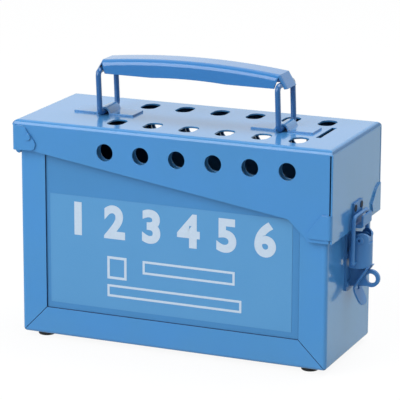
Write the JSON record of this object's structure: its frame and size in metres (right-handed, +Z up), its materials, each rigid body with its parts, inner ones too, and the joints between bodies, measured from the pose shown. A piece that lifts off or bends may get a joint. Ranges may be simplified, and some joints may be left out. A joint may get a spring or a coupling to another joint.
{
  "type": "group lockout box",
  "caption": "Folded steel lockout box with a hinged slotted lid, padlock holes, a folding carry handle and a draw latch.",
  "frame": {"origin": "middle of the whole object's length and depth, on the surface that the feet stand on", "axes": "+X along the box's length from the hinge end to the latch end, +Y from front to back, +Z up"},
  "size_m": [0.2524, 0.0992, 0.1977],
  "materials": {
    "blue_paint": "glossy powder coat",
    "label_film": "smooth printed film",
    "black_rubber": "matte rubber"
  },
  "bodies": {
    "box": {"body_wrap": "blue_paint", "front_panel": "blue_paint", "back_panel": "blue_paint", "front_label": "label_film", "foot_front_left": "black_rubber", "foot_front_right": "black_rubber", "foot_back_left": "black_rubber", "foot_back_right": "black_rubber", "hinge_pin": "blue_paint", "latch_base": "blue_paint", "padlock_staple": "blue_paint", "latch_base_rivets": "blue_paint", "latch_pivot_pin": "blue_paint"},
    "lid": {"lid_shell": "blue_paint", "lid_ear_rivets": "blue_paint", "latch_keeper": "blue_paint", "keeper_rivets": "blue_paint", "handle_bracket_left": "blue_paint", "handle_bracket_right": "blue_paint"},
    "loop_left": {"handle_loop_left": "blue_paint"},
    "loop_right": {"handle_loop_right": "blue_paint"},
    "grip": {"handle_grip": "blue_paint"},
    "lever": {"latch_lever": "blue_paint"},
    "bail": {"latch_bail": "blue_paint"}
  },
  "joints": [
    {"name": "lid_hinge", "type": "hinge", "parent": "box", "child": "lid", "pos_m": [-0.12175, 0, 0.1337], "axis": [0, -1, 0], "range_deg": [0, 105]},
    {"name": "handle_left", "type": "hinge", "parent": "lid", "child": "loop_left", "pos_m": [-0.07405, 0, 0.15755], "axis": [0, 1, 0], "range_deg": [-75.8, 80.2]},
    {"name": "handle_right", "type": "hinge", "parent": "lid", "child": "loop_right", "pos_m": [0.05755, 0, 0.15755], "axis": [0, 1, 0], "range_deg": [-75.8, 80.2]},
    {"name": "grip_pivot", "type": "hinge", "parent": "loop_left", "child": "grip", "pos_m": [-0.07517, 0, 0.18678], "axis": [0, 1, 0], "range_deg": [-80.2, 75.8]},
    {"name": "latch_lever", "type": "hinge", "parent": "box", "child": "lever", "pos_m": [0.1146, 0, 0.0863], "axis": [0, -1, 0], "range_deg": [0, 85]},
    {"name": "latch_bail", "type": "hinge", "parent": "lever", "child": "bail", "pos_m": [0.11145, 0, 0.0706], "axis": [0, -1, 0], "range_deg": [-51, 0]}
  ],
  "couplings": [
    {"joint": "handle_right", "follows": "handle_left", "ratio": 1},
    {"joint": "grip_pivot", "follows": "handle_left", "ratio": -1},
    {"joint": "latch_bail", "follows": "latch_lever", "ratio": -0.6}
  ]
}
